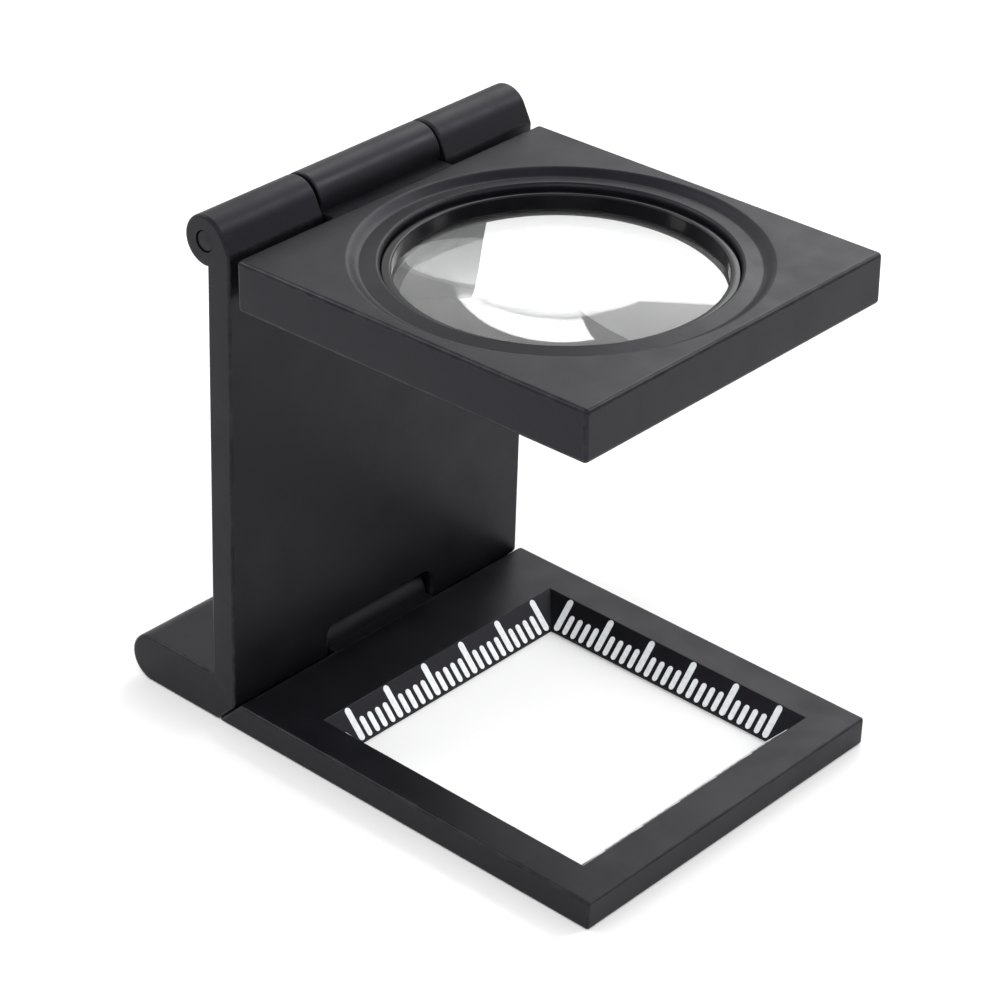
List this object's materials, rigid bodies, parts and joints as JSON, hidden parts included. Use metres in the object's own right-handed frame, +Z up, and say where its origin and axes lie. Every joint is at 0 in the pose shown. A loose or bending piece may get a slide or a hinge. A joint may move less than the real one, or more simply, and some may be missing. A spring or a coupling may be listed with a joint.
{
  "type": "folding linen tester",
  "caption": "Folding stand magnifier with a square lens plate over a windowed base plate that carries millimetre scales, both hinged to one upright.",
  "frame": {"origin": "middle of the bounding box, on the table surface under the open instrument", "axes": "+X from the heel towards the free edges of the plates, +Y along both hinges away from the blind end of the base pin, +Z up"},
  "size_m": [0.0552, 0.038, 0.0504],
  "materials": {
    "casting_paint": "satin black paint on a zinc casting",
    "base_paint": "satin black paint on a zinc casting",
    "lens_plate_paint": "satin black paint on a zinc casting",
    "lens_glass": "clear polished glass",
    "ring_gloss": "gloss black",
    "pin_steel": "blackened steel, dull",
    "scale_white": "matt white paint fill"
  },
  "bodies": {
    "stand": {"stand": "casting_paint", "lens_hinge_pin": "pin_steel", "base_hinge_pin": "pin_steel"},
    "base": {"base_plate": "base_paint"},
    "lens_holder": {"lens_plate": "lens_plate_paint", "lens": "lens_glass", "lens_retaining_ring": "ring_gloss"}
  },
  "joints": [
    {"name": "lens_fold", "type": "hinge", "parent": "stand", "child": "lens_holder", "pos_m": [-0.01729, 0, 0.04803], "axis": [0, -1, 0], "range_deg": [0, 268.4]},
    {"name": "base_fold", "type": "hinge", "parent": "stand", "child": "base", "pos_m": [-0.02524, 0, 0.0024], "axis": [0, 1, 0], "range_deg": [0, 270]}
  ]
}
